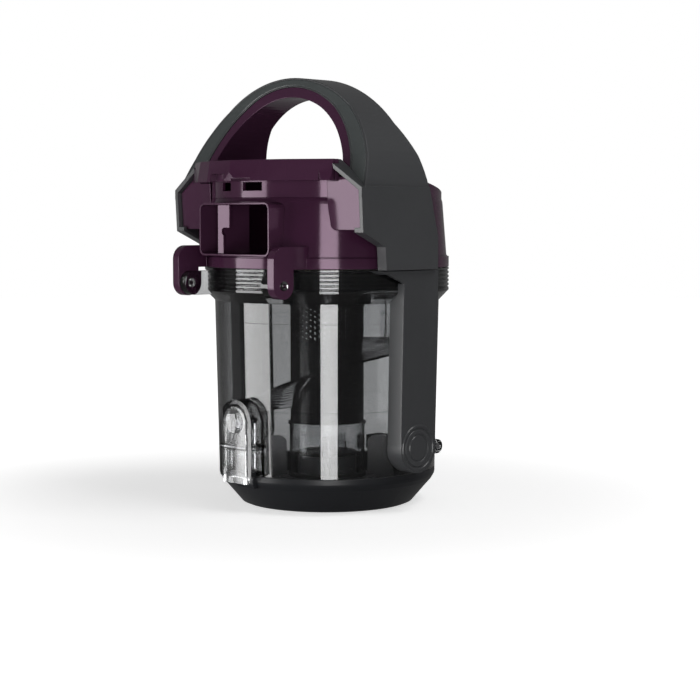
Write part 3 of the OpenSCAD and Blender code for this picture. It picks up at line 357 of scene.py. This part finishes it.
def clear_plastic(name, tint, density, rough=0.02, edge=1.0, haze=0.0):
    """Clear moulded plastic that lets lamp light through to what it holds.

    density is the share of lamp light let through, edge darkens the tint where one looks along
    the wall, and haze makes it milky.
    """
    m, t, shader, out = new_material(name)
    facing = t.nodes.new("ShaderNodeLayerWeight")
    facing.inputs["Blend"].default_value = 0.5
    along = ranged(t, facing.outputs["Facing"], 0, 1, SLANT_SPAN)
    t.links.new(mixed_colour(t, along, tint, scaled(tint, edge)), shader.inputs["Base Color"])
    shader.inputs["Transmission Weight"].default_value = 1.0 - haze
    shader.inputs["IOR"].default_value = CLEAR_IOR
    flow = noise(t, RIPPLE_SCALE, detail=2.0)
    t.links.new(ranged(t, flow, rough, rough + RIPPLE_ROUGHER), shader.inputs["Roughness"])
    t.links.new(bumped(t, flow, RIPPLE_STRENGTH, RIPPLE_DEPTH), shader.inputs["Normal"])
    through = t.nodes.new("ShaderNodeBsdfTransparent")
    through.inputs["Color"].default_value = (density, density, density, 1)
    path = t.nodes.new("ShaderNodeLightPath")
    mix = mixed_shader(t, path.outputs["Is Shadow Ray"], shader, through)
    t.links.new(mix, out.inputs["Surface"])
    return m


def metal(name, colour, rough):
    """Brushed metal."""
    m, t, shader, _ = new_material(name)
    shader.inputs["Base Color"].default_value = colour
    shader.inputs["Metallic"].default_value = 1.0
    brush = noise(t, BRUSH_SCALE, detail=5.0, roughness=0.7)
    uneven = ranged(t, brush, rough - BRUSH_SMOOTHER, rough + BRUSH_ROUGHER)
    t.links.new(uneven, shader.inputs["Roughness"])
    t.links.new(bumped(t, brush, BRUSH_STRENGTH, BRUSH_DEPTH), shader.inputs["Normal"])
    return m


def fleece(name, colour):
    """Matt filter fleece with fibres."""
    m, t, shader, _ = new_material(name)
    fibre = noise(t, FIBRE_SCALE, detail=6.0, roughness=0.8)
    tone = mixed_colour(t, fibre, scaled(colour, FIBRE_DARK), colour)
    t.links.new(tone, shader.inputs["Base Color"])
    shader.inputs["Roughness"].default_value = FLEECE_ROUGHNESS
    t.links.new(bumped(t, fibre, FIBRE_STRENGTH, FIBRE_DEPTH), shader.inputs["Normal"])
    return m


def make_materials():
    """The finish for each material slot of the record, and lid_inside for the lid's baffle."""
    return {
        "lid_black": plastic(
            "lid_black", srgb(31, 32, 35), rough=0.36, grain=900.0, grain_depth=0.00003, specular=0.35
        ),
        "rubber": plastic(
            "rubber", srgb(24, 24, 25), rough=0.62, grain=500.0, grain_depth=0.00005, specular=0.3
        ),
        "clear": clear_plastic("clear", (0.45, 0.455, 0.46, 1), density=0.8, edge=0.16),
        "steel": metal("steel", srgb(190, 190, 193), rough=0.28),
        "anthracite": plastic(
            "anthracite",
            srgb(59, 60, 62),
            rough=0.4,
            grain=1100.0,
            grain_depth=0.000001,
            coat=0.35,
            edge_radius=0.0008,
        ),
        "lid_inside": plastic(
            "lid_inside", srgb(70, 70, 72), rough=0.3, grain=900.0, grain_depth=0.00002
        ),
        "smoke": plastic(
            "smoke", srgb(16, 16, 17), rough=0.14, grain=800.0, grain_depth=0.00001, edge_radius=0.0003
        ),
        "smoke_clear": clear_plastic(
            "smoke_clear", (0.78, 0.78, 0.79, 1), density=0.7, rough=0.03
        ),
        "filter_paper": fleece("filter_paper", srgb(226, 223, 214)),
        "purple": plastic(
            "purple",
            srgb(60, 30, 52),
            rough=0.1,
            grain=700.0,
            grain_depth=0.000006,
            tint=(1, 0.72, 0.92, 1),
        ),
        "trim_grey": plastic(
            "trim_grey",
            srgb(66, 70, 70),
            rough=0.14,
            grain=700.0,
            grain_depth=0.000004,
            specular=0.6,
            coat=0.3,
            edge_radius=0.0011,
        ),
    }


def dress_cad_nodes(materials):
    """Give each CAD node the finish of its slot, a clearer one of its own, or lid_inside for the lid's
    baffle.
    """
    slots = {s["node"]: s["material_slot"] for s in frame["record"]["subparts"]}
    for name, node in NODES.items():
        finish = materials[slots[name]]
        if name in CLEARER:
            tone, haze = CLEARER[name]
            tint = (tone, tone + COOL_GREEN, tone + COOL_BLUE, 1)
            finish = clear_plastic(
                "clear_" + name, tint, CLEARER_DENSITY, edge=CLEARER_EDGE, haze=haze
            )
        if name == "lid_baffle":
            finish = materials["lid_inside"]
        node.data.materials.clear()
        node.data.materials.append(finish)


bpy.context.scene.view_settings.view_transform = "Standard"
make_camera()
make_lights()
make_world()
make_floor()
dress_cad_nodes(make_materials())
